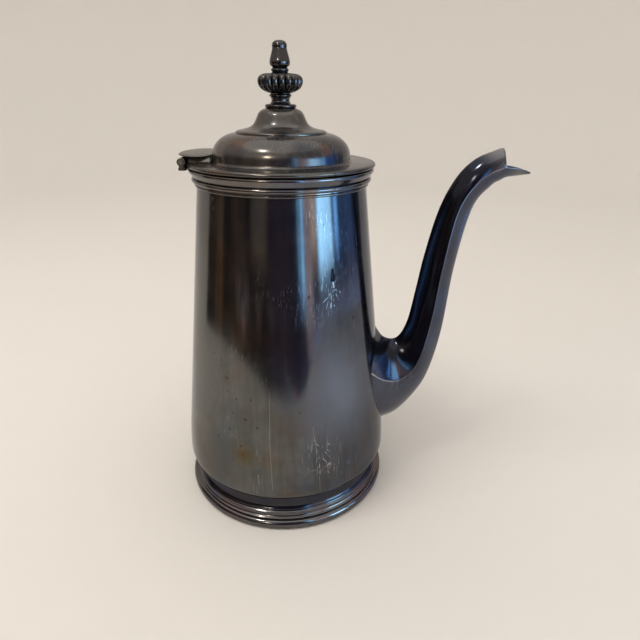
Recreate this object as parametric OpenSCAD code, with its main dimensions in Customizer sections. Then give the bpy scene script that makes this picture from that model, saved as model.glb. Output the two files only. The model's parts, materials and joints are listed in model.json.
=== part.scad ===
// Side-handled coffee pot in silver plate, with a hinged domed lid and a swan-neck spout.
// The origin is the centre of the foot on the surface that it stands on.
// +Z is up, +X points at the spout and +Y at the handle. The hinge is on the -X side.

/* [Body] */
// Radius of the body at its widest, just above the foot
body_base_r = 57.2; // [50:0.1:60]
// Radius of the body under the rim mouldings
body_top_r = 41.3; // [38:0.1:44]
// Height of the widest part of the body
body_base_z = 24; // [23.5:0.1:26]
// Height where the taper ends and the rim mouldings start
body_top_z = 171; // [165:0.5:175]
// Thickness of the sheet of the body
wall = 1.2; // [0.8:0.1:1.4]

/* [Foot] */
// Outer radius of the foot's rolled edge
foot_r = 57.5; // [55:0.1:60]
// Height of the foot, up to the bottom of the body
foot_h = 17.5; // [16:0.5:18]
// Radius of the waist between the foot and the body
waist_r = 51.8; // [50:0.1:53]

/* [Rim] */
// Height of the mouth of the pot
mouth_z = 179.4; // [178:0.1:180]
// Radius of the upper moulding
rim_band_r = 44.7; // [44:0.1:45]

/* [Lid] */
// Outer radius of the brim of the lid
brim_r = 45.3; // [45:0.1:46]
// Height of the top face of the brim
brim_z = 181.6; // [181:0.1:182]
// Thickness of the sheet of the lid
lid_wall = 1.0; // [0.8:0.1:1.2]
// Radius of the lower dome at its widest
dome_r = 33; // [32:0.1:34]
// Height of the top of the lower dome
dome_top_z = 194.4; // [193:0.1:195]
// Radius of the edge of the upper stage
crown_r = 21.6; // [20:0.1:23]
// Height of the top of the upper stage
crown_top_z = 205; // [204:0.5:206]

/* [Finial] */
// Greatest radius of the lobed knop
knop_r = 10.4; // [9:0.1:11]
// Number of lobes round the knop
knop_lobes = 18; // [12:2:24]
// Height of the top of the finial
finial_top_z = 233; // [230:0.5:236]

/* [Hinge] */
// Distance of the hinge pin from the axis of the pot
hinge_x = 45; // [45:0.1:46]
// Height of the hinge pin
hinge_z = 182.2; // [182:0.1:183]
// Radius of the hinge knuckles
knuckle_r = 1.9; // [1.7:0.1:2]
// Length of the hinge along its pin
hinge_w = 32; // [28:1:34]
// Radius of the hinge pin
hinge_pin_r = 1.0; // [0.8:0.1:1.1]

/* [Spout] */
// Thickness of the sheet of the spout
spout_wall = 1.3; // [1:0.1:1.5]
// How far each panel of the spout's neck bulges from flat
spout_bulge = 0.9; // [0.2:0.1:1.5]
// Half width of the spout where it meets the body
spout_root_w = 22.6; // [20:0.2:24]
// Half width of the neck of the spout
spout_neck_w = 7.6; // [7:0.1:9]

/* [Handle] */
// Height of the upper socket
grip_top_z = 148; // [145:1:152]
// Half thickness of the grip, across the hand
grip_half_w = 7; // [6:0.5:8]
// Half depth of the grip, away from the body
grip_half_d = 8.5; // [7.5:0.5:9]

/* [Hidden] */

silver = "#5a5a62";
dark_silver = "#44444c";
wood = "#2b211c";
steel = "#8a8a8a";
$fn = 96;

fit = 0.02;              // gap of a soldered or pressed joint
run = 0.05;              // gap round the running hinge pin
gap = 0.3;               // gap between pieces that move past each other
tiny = 0.01;
beyond = 300;            // longer or higher than anything that it cuts

taper = (body_base_r - body_top_r + 0.75) / (body_top_z - body_base_z);
swell_z = 40;            // below this the body rounds in from its taper
swell = 0.003;
function cone_r(z) = body_top_r + taper * (body_top_z - z);
function body_r(z) = z > swell_z ? cone_r(z) : cone_r(z) - swell * pow(swell_z - z, 2);

// Points of an arc in the plane of a profile, as [radius, height]
function arc(c, r, a0, a1, n) =
    [for (i = [0:n]) let (a = a0 + (a1 - a0) * i / n) c + [r[0] * cos(a), r[1] * sin(a)]];

function reversed(list) = [for (i = [len(list) - 1:-1:0]) list[i]];

// ---------------------------------------------------------------- body

turn_r = 5.2;            // radius of the turn under the body
turn = [body_base_r - turn_r, body_base_z];

module body_profile(inset) {
    under = arc(turn, [turn_r - inset, turn_r - inset], -90, 0, 8);
    side = [for (z = [28, 32, 36, swell_z, body_top_z]) [body_r(z) - inset, z]];
    polygon(concat([[0, turn[1] - turn_r + inset]], under, side,
                   [[body_top_r - inset, mouth_z + inset], [0, mouth_z + inset]]));
}

hole_r = 2;
hole_pitch = 7;
hole_z = 62;
hole_rows = 3;           // rows above and below the middle one

// The pierced strainer: rows of holes behind the root of the spout
module strainer_holes() {
    for (row = [-hole_rows:hole_rows]) {
        count = 5 - (abs(row) % 2) - (abs(row) == hole_rows ? 2 : 0);
        for (i = [0:count - 1])
            translate([0, (i - (count - 1) / 2) * hole_pitch, hole_z + row * hole_pitch * 0.85])
                rotate([0, 90, 0]) cylinder(r = hole_r, h = body_base_r + 5, $fn = 32);
    }
}

floor_r = turn[0] - 1;

module body_shell() color(silver) difference() {
    rotate_extrude() body_profile(0);
    rotate_extrude() body_profile(wall);
    translate([0, 0, foot_h]) cylinder(r = floor_r, h = 10);
    strainer_holes();
}

module bottom_plate() color(dark_silver) {
    z = turn[1] - turn_r;
    translate([0, 0, z]) cylinder(r = floor_r - fit, h = wall);
}

// ---------------------------------------------------------------- foot

bead_r = 2.7;
bead_top_z = 5.2;

module foot_skirt() color(silver) {
    top_z = turn[1] - turn_r;
    outer = concat([[foot_r - bead_r, bead_top_z], [55.4, 6.2]],
                   arc([55.2, 8.1], [1.3, 1.7], -100, -180, 4),
                   [[54.3, 8.3], [54.3, 9.3], [53.6, 9.7]],
                   arc([53.9 + 0.2, 13.6], [54.1 - waist_r, 3.6], -110, -180, 6),
                   [[waist_r, top_z - fit]]);
    inner = [for (p = reversed(outer)) [p[0] - wall * 1.5, p[1]]];
    rotate_extrude() polygon(concat(outer, inner));
}

module foot_edge_bead() color(silver) rotate_extrude() difference() {
    union() {
        translate([foot_r - bead_r, 2.5]) circle(r = bead_r);
        translate([foot_r - 2 * bead_r, 0]) square([bead_r, bead_top_z - fit]);
    }
    translate([0, -5]) square([foot_r + 5, 5]);
    translate([foot_r - 2 * bead_r - 2, bead_top_z - fit]) square([10, 5]);
}

// ---------------------------------------------------------------- rim

module rim_band_upper() color(silver) {
    r0 = body_top_r + fit;
    z1 = mouth_z;
    rotate_extrude() polygon(concat(
        [[r0, z1 - 4.2], [r0 + 1.5, z1 - 4.2], [r0 + 2.2, z1 - 3.4], [r0 + 2.6, z1 - 2.4]],
        arc([rim_band_r - 1, z1 - 1.1], [1, 1.1], -40, 90, 8),
        [[r0, z1]]));
}

module rim_band_lower() color(silver) {
    r0 = body_top_r + fit;
    z0 = body_top_z;
    rotate_extrude() polygon(concat(
        [[r0, z0]],
        arc([r0 + 0.4, z0 + 0.6], [0.8, 0.8], -80, 70, 6),
        [[r0 + 0.6, z0 + 1.7], [r0 + 1.3, z0 + 2.3]],
        arc([r0 + 1.5, z0 + 3.2], [0.8, 0.9], -30, 90, 6),
        [[r0, z0 + 4.1]]));
}

// ---------------------------------------------------------------- spout

// Key sections of the spout: inner corner [x, z], side crease [x, z], half width, outer
// corner [x, z] and how much more than the neck's the upper and the lower panels bulge.
// The first one is the rounded shield that is soldered to the body.
spout_keys = [
    [[50, 94], [47, 76], spout_root_w, [57, 33], 4.2, 5.6],
    [[55.2, 87.2], [54.5, 69], 17.6, [65.5, 37.8], 2.4, 3.4],
    [[62.5, 87], [64, 66.6], 13, [75, 49.8], 1.2, 1.8],
    [[67.5, 97], [73.5, 75], 9.8, [82, 64.5], 0.4, 0.6],
    [[70.6, 116], [79, 98], spout_neck_w + 0.4, [87.2, 91], 0, 0],
    [[73.5, 136], [82.3, 130], spout_neck_w, [90, 128], 0, 0],
    [[78.6, 159], [87, 159], spout_neck_w - 0.4, [95.4, 159], 0, 0],
    [[85.5, 174.5], [94.6, 172.5], spout_neck_w - 0.8, [103, 170.3], 0.5, 0],
    [[93.5, 183.2], [100.7, 177.3], spout_neck_w - 1.1, [107.5, 173.4], 0.7, 0],
    [[107, 189], [108, 179.7], spout_neck_w - 1.8, [111, 174.8], 0.7, 0]];
spout_steps = 3;         // rings from one key section to the next
panel_steps = 4;         // facets across one panel
hood_x = 107.2;          // the plane that cuts off the hood
// Sections of the open beak, which carries on from the two lower panels past the hood:
// rim [x, z], half width and keel [x, z]. The first two lie inside the wall of the spout.
beak_keys = [
    [[98, 175.6], 6.3, [104.8, 172.3]],
    [[104.3, 178.6], 6, [109, 174.2]],
    [[110, 179.5], 5.2, [113.4, 175.3]],
    [[116, 178.8], 3.2, [117.5, 175.9]],
    [[121.4, 177.2], 0.5, [121.6, 176.4]]];
beak_inset = 0.15;

// A smooth curve through a list of values, from the value at i to the next
function smooth(v, i, t) =
    let (n = len(v) - 1, a = v[max(i - 1, 0)], b = v[i], c = v[min(i + 1, n)], d = v[min(i + 2, n)])
    0.5 * (2 * b + (c - a) * t + (2 * a - 5 * b + 4 * c - d) * t * t
           + (3 * b - a - 3 * c + d) * t * t * t);

function in3(p, w) = [p[0], -w, p[1]];
function toward(p, q, d) = p + (q - p) / norm(q - p) * d;

// Points across one panel from a to b, bulging away from the middle m of the section
function panel(a, b, m, bulge, n) =
    let (out = (a + b) / 2 - m, along = (b - a) / norm(b - a),
         dir = out - (out * along) * along)
    [for (i = [0:n]) let (t = i / n)
        a + (b - a) * t + dir / norm(dir) * bulge * 4 * t * (1 - t)];

// One section of a half spout: out over the two panels and back along their inner faces
function half_ring(i0, s0, cw, o0, up, low) =
    let (m = in3((i0 + o0) / 2, 0), a = in3(i0, 0), c = in3(s0, cw), o = in3(o0, 0),
         a1 = toward(a, m, spout_wall * 1.3), o1 = toward(o, m, spout_wall * 1.3),
         c1 = c + [0, spout_wall * 1.2, 0], u = spout_bulge + up, l = spout_bulge + low)
    concat(panel(a, c, m, u, panel_steps),
           [for (p = panel(c, o, m, l, panel_steps)) if (p != c) p],
           panel(o1, c1, m, l, panel_steps),
           [for (p = panel(c1, a1, m, u, panel_steps)) if (p != c1) p]);

// One section of half of the beak: down its outer face to the keel and back up inside
function beak_ring(rim, w, keel) =
    let (m = in3(rim, 0), c = in3(rim, w), o = in3(keel, 0), depth = norm(keel - rim),
         t = min(spout_wall - 2 * beak_inset, w * 0.6, depth * 0.45),
         bulge = spout_bulge * w / spout_neck_w,
         c0 = c + [0, beak_inset, 0], o0 = toward(o, m, beak_inset),
         c1 = c0 + [0, t, 0], o1 = toward(o0, m, t))
    concat(panel(c0, o0, m, bulge, panel_steps), panel(o1, c1, m, bulge, panel_steps));

// A closed solid through rings with the same number of points. The end faces join each
// point of the outer skin to the one behind it on the inner skin.
module loft(rings) {
    n = len(rings[0]);
    m = len(rings);
    half = n / 2;
    sides = [for (j = [0:m - 2], i = [0:n - 1]) let (k = (i + 1) % n)
        each [[j * n + i, (j + 1) * n + i, j * n + k], [j * n + k, (j + 1) * n + i, (j + 1) * n + k]]];
    start = [for (i = [0:half - 2]) each [[i, i + 1, n - 2 - i], [i, n - 2 - i, n - 1 - i]]];
    end = [for (f = start) [for (v = reversed(f)) v + (m - 1) * n]];
    polyhedron(points = [for (r = rings) each r], faces = concat(sides, start, end));
}

function between(keys, k, i, t) = smooth([for (s = keys) s[k]], i, t);

// A point of the root moved along x to just inside the surface of the body
function in_body(p) = [sqrt(pow(body_r(p[2]) - wall / 2, 2) - p[1] * p[1]), p[1], p[2]];

spout_rings = [for (i = [0:len(spout_keys) - 2], s = [0:spout_steps - 1])
    let (t = s / spout_steps, v = [for (k = [0:5]) between(spout_keys, k, i, t)],
         ring = half_ring(v[0], v[1], v[2], v[3], v[4], v[5]))
    i + s == 0 ? [for (p = ring) in_body(p)] : ring];

beak_rings = [for (i = [0:len(beak_keys) - 2], s = [0:(i == len(beak_keys) - 2 ? 2 : 1)])
    let (t = s / 2, v = [for (k = [0:2]) between(beak_keys, k, i, t)])
    beak_ring(v[0], v[1], v[2])];

module spout_half() {
    difference() {
        loft(spout_rings);
        rotate_extrude() body_profile(-fit);
        translate([hood_x, -body_top_r, body_top_z - 5]) cube(2 * body_top_r);
    }
    loft(beak_rings);
}

module spout_near_half() color(silver) translate([0, -fit, 0]) spout_half();
module spout_far_half() color(silver) mirror([0, 1, 0]) spout_near_half();

// ---------------------------------------------------------------- hinge

lid_knuckle_w = hinge_w / 2;
leaf_edge_x = hinge_x - knuckle_r - 0.5;   // straight edge of the brim at the hinge
cover_z = hinge_z + knuckle_r + gap;
cover_t = 1.2;

// A cylinder along the hinge pin, from one distance off the middle to another
module along_pin(r, y0, y1) translate([-hinge_x, y0, hinge_z]) rotate([-90, 0, 0])
    cylinder(r = r, h = y1 - y0, $fn = 48);

module hinge_bracket() color(dark_silver) {
    ear_y = lid_knuckle_w / 2 + gap;
    difference() {
        union() {
            translate([-hinge_x - 1.3, -hinge_w / 2, mouth_z - 2])
                cube([5, hinge_w, 2.2 - gap]);
            for (side = [-1, 1]) {
                y0 = side > 0 ? ear_y : -hinge_w / 2;
                along_pin(knuckle_r, y0, y0 + hinge_w / 2 - ear_y);
                translate([-hinge_x - 1.3, y0, mouth_z - 2])
                    cube([2.6, hinge_w / 2 - ear_y, hinge_z - mouth_z + 2]);
            }
        }
        translate([0, 0, mouth_z - 5]) cylinder(r = rim_band_r + fit, h = 5 + tiny);
        along_pin(hinge_pin_r + fit, -hinge_w, hinge_w);
    }
}

module hinge_pin() color(steel) along_pin(hinge_pin_r, -hinge_w / 2 - 0.3, hinge_w / 2 + 0.3);

// The lid's half of the hinge: its knuckle and the cushion that carries the cover
module lid_leaf() color(silver) difference() {
    union() {
        along_pin(knuckle_r, -lid_knuckle_w / 2, lid_knuckle_w / 2);
        translate([-hinge_x, -lid_knuckle_w / 2, hinge_z - 0.5])
            cube([5, lid_knuckle_w, cover_z - hinge_z + 0.5]);
        translate([-leaf_edge_x, -hinge_w / 2, brim_z + fit])
            cube([leaf_edge_x - 28, hinge_w, cover_z - brim_z - 2 * fit]);
    }
    cylinder(r = dome_r + 1.9, h = beyond);
    along_pin(hinge_pin_r + run, -hinge_w, hinge_w);
}

// The lens-shaped cover over the hinge, between two arcs
module hinge_cover() color(silver) {
    half_x = 9.2;
    half_y = hinge_w / 2 + 0.6;
    r = (half_x * half_x + half_y * half_y) / (2 * half_x);
    mid_x = -hinge_x + 6.8;
    difference() {
        translate([mid_x, 0, cover_z]) intersection() {
            translate([r - half_x, 0, 0]) cylinder(r = r, h = cover_t);
            translate([half_x - r, 0, 0]) cylinder(r = r, h = cover_t);
        }
        cylinder(r = dome_r + fit, h = beyond);
    }
}

// ---------------------------------------------------------------- lid

dome_c = [20, dome_top_z - 10];
dome_a = dome_r - dome_c[0];
collar_r = 5.6;          // radius of the hole through the top of the dome

module lid_dome() color(silver) difference() {
    rotate_extrude() polygon(concat(
        [[collar_r, dome_top_z]], arc(dome_c, [dome_a, 10], 90, 0, 14),
        [[dome_r + 0.1, dome_c[1] - 1.2]],
        arc([dome_r + 1.8, brim_z + 1.6], [1.7, 1.6], 180, 270, 5),
        [[brim_r - 1.2, brim_z], [brim_r - 1.2, brim_z - lid_wall]],
        [[dome_r, brim_z - lid_wall], [dome_r - lid_wall + 0.1, brim_z + 0.6]],
        arc(dome_c, [dome_a - lid_wall, 10 - lid_wall], 0, 90, 14),
        [[collar_r, dome_top_z - lid_wall]]));
    hinge_notch();
}

// The straight edge that leaves room for the hinge knuckles
module hinge_notch() translate([-100, -hinge_w / 2 - 1, brim_z - 5])
    cube([100 - leaf_edge_x, hinge_w + 2, 5 + tiny]);

module lid_brim_bead() color(silver) difference() {
    r = 0.9;
    rotate_extrude() polygon(concat(
        [[brim_r - 1.2 + fit, brim_z - 0.1]], arc([brim_r - r, brim_z - r], [r, r], 80, -150, 14),
        [[brim_r - 1.2 + fit, brim_z - lid_wall - 0.3]]));
    hinge_notch();
}

bezel_r = body_top_r - wall - 0.6;
bezel_z = mouth_z - 4.4;

module lid_bezel() color(dark_silver) {
    z1 = brim_z - lid_wall - fit;
    rotate_extrude() polygon([[bezel_r - 1, bezel_z], [bezel_r - 0.3, bezel_z],
                              [bezel_r, bezel_z + 0.8], [bezel_r, z1], [bezel_r - 3, z1],
                              [bezel_r - 3, z1 - 0.8], [bezel_r - 1, z1 - 0.8]]);
}

// The upper stage: a hollow sweep up to a round shoulder
module lid_crown() color(silver) {
    z0 = dome_top_z + 0.5;
    shoulder = 4.1;
    neck_r = 11.3;
    sweep_h = crown_top_z - shoulder - z0;
    outer = concat(
        [[crown_r, dome_top_z - 0.9], [crown_r, z0]],
        [for (a = [9:9:90]) [neck_r + (crown_r - neck_r) * (1 - sin(a)), z0 + sweep_h * (1 - cos(a))]],
        arc([neck_r - shoulder, crown_top_z - shoulder], [shoulder, shoulder], 10, 90, 8),
        [[1.7, crown_top_z]]);
    inner = concat(
        [[1.7, crown_top_z - lid_wall]],
        arc([neck_r - shoulder, crown_top_z - shoulder],
            [shoulder - lid_wall, shoulder - lid_wall], 90, 10, 6),
        [[neck_r - lid_wall, dome_top_z + fit], [crown_r - lid_wall, dome_top_z + fit],
         [crown_r - lid_wall, dome_top_z - 0.9]]);
    difference() {
        rotate_extrude() polygon(concat(outer, inner));
        rotate_extrude() polygon(concat([[0, 180]], [[dome_r, 180]],
            arc(dome_c, [dome_a + fit, 10 + fit], 0, 90, 14), [[0, dome_top_z + fit]]));
    }
}

// ---------------------------------------------------------------- finial

stud_r = 1.5;
stem_z = crown_top_z + 2;
knop_z = crown_top_z + 6.3;
neck_z = knop_z + 8.4;
tip_z = neck_z + 2.5;

// A turned piece with the bore of the stud through it
module turned(points, bore_top) difference() {
    rotate_extrude() polygon(points);
    translate([0, 0, crown_top_z - 5]) cylinder(r = stud_r + fit, h = bore_top - crown_top_z + 5, $fn = 32);
}

module finial_collar() color(silver) {
    z = crown_top_z + fit;
    turned(concat([[0, z], [6.4, z]], arc([6.1, z + 0.9], [0.9, 0.9], -70, 80, 8),
                  [[4.9, stem_z - fit], [0, stem_z - fit]]), beyond);
}

module finial_stem() color(silver) {
    z = stem_z;
    turned(concat([[0, z], [4.7, z]],
                  [for (a = [10:20:90]) [4.7 - 0.5 * sin(a), z + 1.3 * a / 90]],
                  [[4.3, z + 2.2], [4.6, z + 2.8]],
                  arc([4.5, z + 3.5], [0.7, 0.6], -80, 80, 6),
                  [[4.4, knop_z - fit], [0, knop_z - fit]]), beyond);
}

// Radius of the knop at a share t of its height: a bowl with a soft flat top
function knop_profile(t) = t < 0.72 ? 4.6 + (knop_r - 4.6) * sin(90 * pow(t / 0.72, 0.75))
                                    : 4.4 + (knop_r - 4.4) * pow(cos(90 * (t - 0.72) / 0.28), 0.6);
lobe_depth = 0.09;

// The lobed knop: every ring is waisted between its lobes, least at the two ends
module finial_knop() color(silver) {
    rows = 12;
    around = knop_lobes * 6;
    h = neck_z - knop_z - fit;
    points = [for (j = [0:rows]) let (t = j / rows, s = t < 0.72 ? t : 0.72 + 0.28 * sin(90 * (t - 0.72) / 0.28))
        each [for (i = [0:around - 1]) let (a = 360 * i / around, c = abs(cos(a * knop_lobes / 2)),
            r = knop_profile(s) * (1 - lobe_depth * sin(180 * min(t * 1.1, 0.9)) * (1 - c)))
            [r * cos(a), r * sin(a), knop_z + h * s]]];
    sides = [for (j = [0:rows - 1], i = [0:around - 1]) let (k = (i + 1) % around)
        each [[j * around + i, (j + 1) * around + i, j * around + k],
              [j * around + k, (j + 1) * around + i, (j + 1) * around + k]]];
    bottom = [for (i = [0:around - 1]) i];
    top = [for (i = [around - 1:-1:0]) rows * around + i];
    difference() {
        polyhedron(points = points, faces = concat(sides, [bottom, top]));
        translate([0, 0, knop_z - 1]) cylinder(r = stud_r + fit, h = 12, $fn = 32);
    }
}

module finial_neck() color(silver) {
    z = neck_z;
    turned(concat([[0, z], [4.1, z], [3.5, z + 0.5]], arc([3.1, z + 1.3], [0.7, 0.7], -60, 60, 6),
                  [[3.3, tip_z - fit], [0, tip_z - fit]]), beyond);
}

// The acorn tip: a pear that swells at its foot, with a round cap
module finial_tip() color(silver) {
    z = tip_z;
    h = finial_top_z - z;
    turned(concat([[0, z], [3.4, z]], arc([2.6, z + 1.9], [1.7, 1.7], -50, 20, 6),
                  [[4.0, z + 3.8], [3.6, z + 5.2], [3.2, z + 6.6], [3.05, z + h - 3.3], [3.3, z + h - 2.4]],
                  arc([0.5, z + h - 2.2], [2.8, 2.2], 10, 80, 8),
                  [[0, finial_top_z]]), tip_z + 4.2);
}

nut_z = crown_top_z - lid_wall - 3.2;

module finial_stud() color(steel) translate([0, 0, nut_z - 1.2])
    cylinder(r = stud_r, h = tip_z + 4 - nut_z + 1.2, $fn = 32);

module finial_washer() color(steel) translate([0, 0, nut_z + 2.4]) difference() {
    cylinder(r = 4.6, h = 0.8 - fit, $fn = 48);
    translate([0, 0, -1]) cylinder(r = stud_r + fit, h = 3, $fn = 32);
}

module finial_nut() color(steel) translate([0, 0, nut_z]) difference() {
    cylinder(r = 3.5, h = 2.4 - fit, $fn = 6);
    translate([0, 0, -1]) cylinder(r = stud_r + fit, h = 5, $fn = 32);
}

// ---------------------------------------------------------------- handle

// The grip's centre line lies in the plane x = 0, as [y, z]: level out of the upper
// socket, round the bow, and down a long flat curve into the lower socket.
bow_r = 24;
bow = [76, grip_top_z - bow_r];
bow_end = -20;
sweep_r = 139;
sweep_turn = 25;
sweep_c = bow - (sweep_r - bow_r) * [cos(bow_end), sin(bow_end)];
sweep_end = bow_end - sweep_turn;
grip_end = sweep_c + sweep_r * [cos(sweep_end), sin(sweep_end)];
spigot_r = 6;
spigot_l = 10;
socket_r = 7.6;
socket_y = 58;           // end of the upper socket
grip_pin_r = 1.1;

// The oval section of the grip, with its depth along x of the profile plane
module grip_section() polygon([for (a = [0:15:345]) [grip_half_d * cos(a), grip_half_w * sin(a)]]);

// Sweep of the grip's section round c in the plane x = 0, from angle a0 up to a1
module grip_arc(c, r, a0, a1) translate([0, c[0], c[1]]) rotate([90, 0, 90])
    rotate([0, 0, a0]) rotate_extrude(angle = a1 - a0) translate([r, 0]) grip_section();

// Cylinder in the plane x = 0 from point p, along the direction at angle a
module rod_from(p, a, r, h, r2) translate([0, p[0], p[1]]) rotate([a - 90, 0, 0])
    cylinder(r1 = r, r2 = r2, h = h, $fn = 64);

module handle_grip() color(wood) difference() {
    union() {
        grip_arc(bow, bow_r, bow_end, 90);
        grip_arc(sweep_c, sweep_r, sweep_end, bow_end + tiny);
        translate([0, socket_y + 0.2, grip_top_z]) rotate([-90, 0, 0])
            linear_extrude(bow[0] - socket_y - 0.2 + tiny) rotate(90) grip_section();
        rod_from([socket_y - spigot_l, grip_top_z], 0, spigot_r, spigot_l + 1, spigot_r);
        rod_from(grip_end, sweep_end - 90, spigot_r, spigot_l, spigot_r);
    }
    handle_pin_rods(grip_pin_r + fit);
}

module handle_pin_rods(r) {
    low = grip_end + 4.5 * [cos(sweep_end - 90), sin(sweep_end - 90)];
    for (p = [[socket_y - 4.5, grip_top_z], low])
        translate([-socket_r - 0.4, p[0], p[1]]) rotate([0, 90, 0])
            cylinder(r = r, h = 2 * socket_r + 0.8, $fn = 32);
}

module handle_pins() color(steel) handle_pin_rods(grip_pin_r);

// One socket: a round cup with a moulded mouth and a flared foot, cut to the body
module handle_socket(p, a, h) color(silver) {
    back = p + h * [cos(a + 180), sin(a + 180)];
    difference() {
        union() {
            rod_from(back, a, socket_r, h, socket_r);
            rod_from(back, a, socket_r + 4, h * 0.45, socket_r);
            rod_from(p + 2.2 * [cos(a + 180), sin(a + 180)], a, socket_r + 0.8, 2.2, socket_r + 0.8);
        }
        rotate_extrude() body_profile(-fit);
        rod_from(p + (spigot_l + 0.2) * [cos(a + 180), sin(a + 180)], a, spigot_r + fit, spigot_l + 1, spigot_r + fit);
        handle_pin_rods(grip_pin_r + fit);
    }
}

module handle_socket_upper() handle_socket([socket_y, grip_top_z], 0, 20);
module handle_socket_lower() handle_socket(
    grip_end + 0.2 * [cos(sweep_end - 90), sin(sweep_end - 90)], sweep_end + 90, 26);

body_shell();
bottom_plate();
foot_skirt();
foot_edge_bead();
rim_band_upper();
rim_band_lower();
spout_near_half();
spout_far_half();
hinge_bracket();
hinge_pin();
lid_leaf();
hinge_cover();
lid_dome();
lid_brim_bead();
lid_bezel();
lid_crown();
finial_collar();
finial_stem();
finial_knop();
finial_neck();
finial_tip();
finial_stud();
finial_washer();
finial_nut();
handle_socket_upper();
handle_socket_lower();
handle_grip();
handle_pins();
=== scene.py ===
"""The looks of a side-handled coffee pot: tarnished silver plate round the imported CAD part.

Profiles are in millimetres, as (radius, height), and become metres in make_piece().
"""
import json
import math

import bmesh
import bpy
from mathutils import Matrix, Vector


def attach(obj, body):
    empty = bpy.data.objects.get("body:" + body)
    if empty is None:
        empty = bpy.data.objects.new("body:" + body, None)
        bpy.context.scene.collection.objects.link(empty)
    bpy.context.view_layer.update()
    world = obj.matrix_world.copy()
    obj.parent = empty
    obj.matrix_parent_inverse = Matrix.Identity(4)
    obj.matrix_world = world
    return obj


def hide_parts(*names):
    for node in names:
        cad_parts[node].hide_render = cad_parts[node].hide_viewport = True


MM = 0.001
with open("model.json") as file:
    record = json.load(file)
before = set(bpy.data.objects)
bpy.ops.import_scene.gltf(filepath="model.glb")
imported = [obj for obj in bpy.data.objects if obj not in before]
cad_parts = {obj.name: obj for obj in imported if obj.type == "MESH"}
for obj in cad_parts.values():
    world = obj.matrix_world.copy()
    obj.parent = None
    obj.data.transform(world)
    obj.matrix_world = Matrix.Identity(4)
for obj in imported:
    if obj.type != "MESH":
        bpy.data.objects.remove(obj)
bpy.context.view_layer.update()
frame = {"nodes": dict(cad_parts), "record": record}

# ---------------------------------------------------------------- camera

CAMERA_AT = Vector((19.3, -253.4, 211.3)) * MM
CAMERA_DOWN = 24.31      # degrees below the horizon
CAMERA_ROLL = 0.57
FOCAL_MM = 28.16         # on a sensor 36 mm wide


def new_object(name, data):
    made = bpy.data.objects.new(name, data)
    bpy.context.scene.collection.objects.link(made)
    return made


def make_camera():
    data = bpy.data.cameras.new("camera")
    data.lens, data.sensor_width = FOCAL_MM, 36
    data.clip_start, data.clip_end = 0.005, 50
    camera = new_object("camera", data)
    down = Matrix.Rotation(math.radians(90 - CAMERA_DOWN), 4, "X")
    roll = Matrix.Rotation(math.radians(CAMERA_ROLL), 4, "Z")
    camera.matrix_world = Matrix.Translation(CAMERA_AT) @ down @ roll
    bpy.context.scene.camera = camera


make_camera()

# ---------------------------------------------------------------- outlines

ON_AXIS = 1e-6           # a radius below this is a point on the axis of the pot


def arc(centre, radii, start, end, steps=12):
    """Points of an arc, from one angle to another in degrees."""
    angles = [math.radians(start + (end - start) * i / steps) for i in range(steps + 1)]
    return [(centre[0] + radii[0] * math.cos(a), centre[1] + radii[1] * math.sin(a)) for a in angles]


def between(values, i, t):
    """A smooth curve through values, at the share t of the way from value i to the next."""
    a, b = values[max(i - 1, 0)], values[i]
    c, d = values[min(i + 1, len(values) - 1)], values[min(i + 2, len(values) - 1)]
    bend = (2 * a - 5 * b + 4 * c - d) * t ** 2
    return 0.5 * (2 * b + (c - a) * t + bend + (3 * b - a - 3 * c + d) * t ** 3)


def curve(points, steps=6):
    """A smooth curve through points."""
    shares = [(i, s / steps) for i in range(len(points) - 1) for s in range(steps)]
    made = [tuple(between([p[k] for p in points], i, t) for k in (0, 1)) for i, t in shares]
    return made + [tuple(points[-1])]


def soften(points, size=0.25, steps=3):
    """A closed outline with its corners rounded, each cut back by up to size along both sides."""
    made = []
    for i, p in enumerate(points):
        p, before, after = Vector(p), Vector(points[i - 1]), Vector(points[(i + 1) % len(points)])
        a, b = before - p, after - p
        if p.x < ON_AXIS or a.length < 1e-6 or b.length < 1e-6 or a.angle(-b) < math.radians(20):
            made.append(tuple(p))
            continue
        start = p + a.normalized() * min(size, a.length * 0.45)
        end = p + b.normalized() * min(size, b.length * 0.45)
        for s in range(steps + 1):
            t = s / steps
            made.append(tuple(start * (1 - t) ** 2 + p * 2 * t * (1 - t) + end * t ** 2))
    return made


# ---------------------------------------------------------------- meshes


def new_mesh(name, bm, scale=1.0):
    """A mesh from a bmesh, which is freed."""
    mesh = bpy.data.meshes.new(name)
    bm.to_mesh(mesh)
    bm.free()
    mesh.transform(Matrix.Scale(scale, 4))
    return mesh


def make_piece(name, bm, body, nodes, sharp=35):
    """A shaded object from a mesh in millimetres, riding on a CAD body in place of its nodes."""
    slot = SLOT_OF[nodes[0]]
    bmesh.ops.remove_doubles(bm, verts=bm.verts, dist=1e-5)
    bmesh.ops.recalc_face_normals(bm, faces=bm.faces)
    mesh = new_mesh(name, bm, MM)
    piece = new_object(name, mesh)
    shade(mesh, sharp)
    mesh.materials.append(MATERIALS[slot])
    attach(piece, body)
    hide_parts(*nodes)
    return piece


def shade(mesh, sharp):
    for face in mesh.polygons:
        face.use_smooth = True
    mesh.set_sharp_from_angle(angle=math.radians(sharp))


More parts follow.
